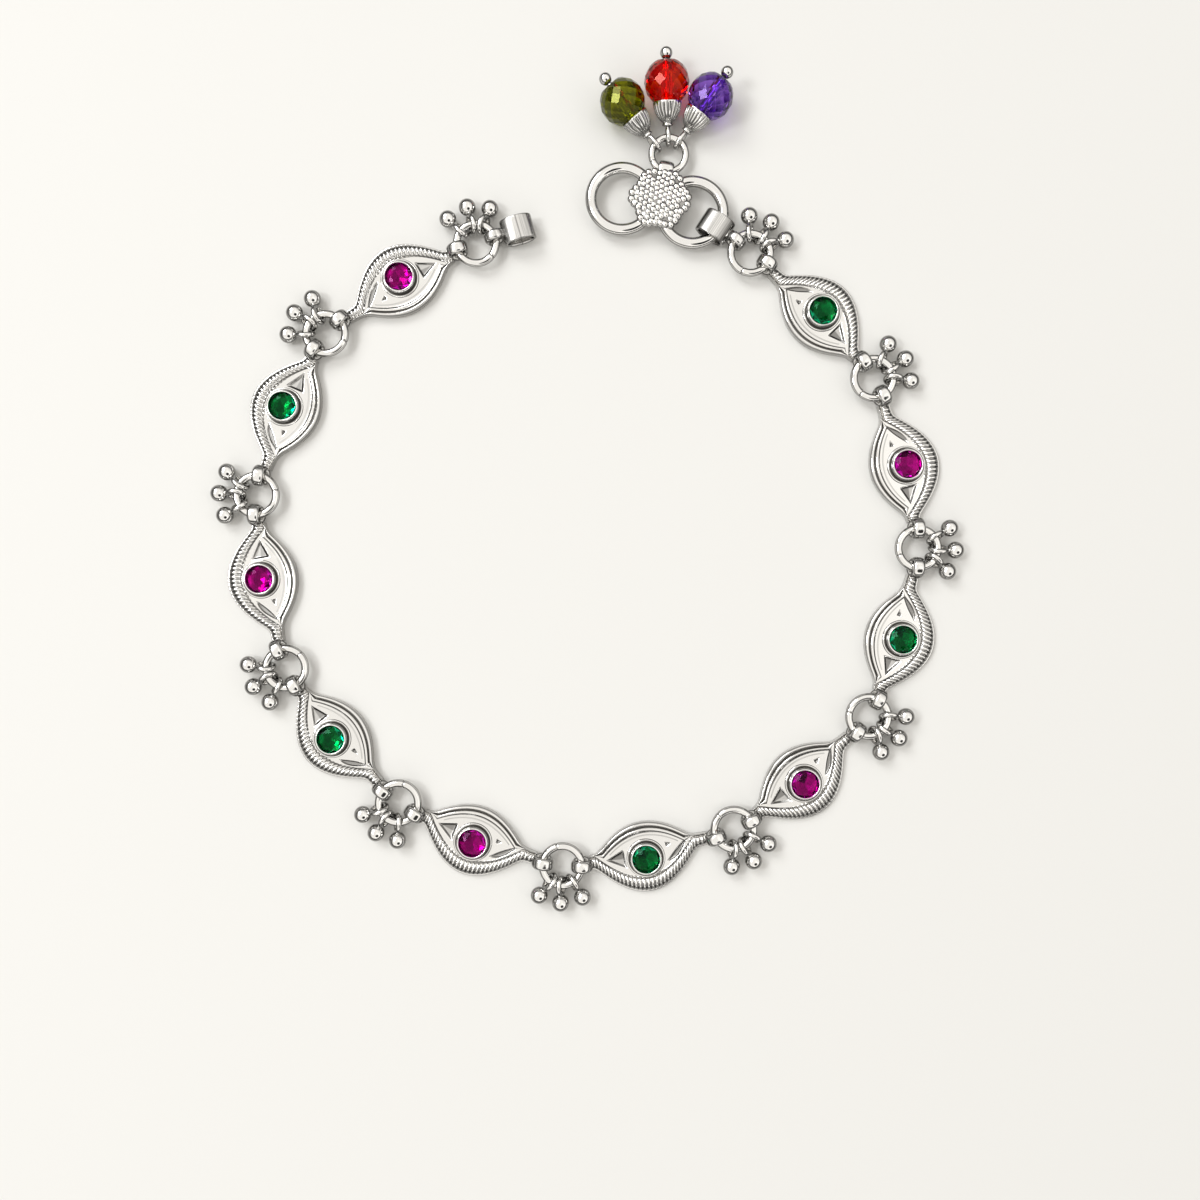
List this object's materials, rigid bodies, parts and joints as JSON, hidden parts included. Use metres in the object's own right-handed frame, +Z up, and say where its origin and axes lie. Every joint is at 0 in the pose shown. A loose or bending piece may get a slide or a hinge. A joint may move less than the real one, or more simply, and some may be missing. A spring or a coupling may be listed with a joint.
{
  "type": "payal anklet",
  "caption": "Open silver anklet of cast eye-shaped links with faceted stones, ball drops on jump rings, a double-ring flower clasp and crystal bead charms.",
  "frame": {"origin": "middle of the footprint, on the surface that the anklet lies on", "axes": "+Z up from the surface, +Y along the anklet's longest extent towards the charms, +X to the right seen from above"},
  "size_m": [0.1006, 0.1142, 0.0059],
  "materials": {
    "silver": "bright polished silver",
    "green_stone": "faceted, polished",
    "magenta_stone": "faceted, polished",
    "olive_crystal": "faceted, polished",
    "red_crystal": "faceted, polished",
    "purple_crystal": "faceted, polished"
  },
  "bodies": {
    "root": {"eye_link_01": "silver", "eye_link_02": "silver", "eye_link_03": "silver", "eye_link_04": "silver", "eye_link_05": "silver", "eye_link_06": "silver", "eye_link_07": "silver", "eye_link_08": "silver", "eye_link_09": "silver", "eye_link_10": "silver", "jump_ring_00": "silver", "jump_ring_01": "silver", "jump_ring_02": "silver", "jump_ring_03": "silver", "jump_ring_04": "silver", "jump_ring_05": "silver", "jump_ring_06": "silver", "jump_ring_07": "silver", "jump_ring_08": "silver", "jump_ring_09": "silver", "jump_ring_10": "silver", "ghungroo_cluster_00": "silver", "ghungroo_cluster_01": "silver", "ghungroo_cluster_02": "silver", "ghungroo_cluster_03": "silver", "ghungroo_cluster_04": "silver", "ghungroo_cluster_05": "silver", "ghungroo_cluster_06": "silver", "ghungroo_cluster_07": "silver", "ghungroo_cluster_08": "silver", "ghungroo_cluster_09": "silver", "ghungroo_cluster_10": "silver", "clasp_strap": "silver", "end_strap": "silver", "double_ring_clasp": "silver", "charm_ring": "silver", "stone_01": "green_stone", "stone_02": "magenta_stone", "stone_03": "green_stone", "stone_04": "magenta_stone", "stone_05": "green_stone", "stone_06": "magenta_stone", "stone_07": "green_stone", "stone_08": "magenta_stone", "stone_09": "green_stone", "stone_10": "magenta_stone", "head_pin_olive": "silver", "bead_cap_olive": "silver", "crystal_bead_olive": "olive_crystal", "head_pin_red": "silver", "bead_cap_red": "silver", "crystal_bead_red": "red_crystal", "head_pin_purple": "silver", "bead_cap_purple": "silver", "crystal_bead_purple": "purple_crystal"}
  },
  "joints": []
}
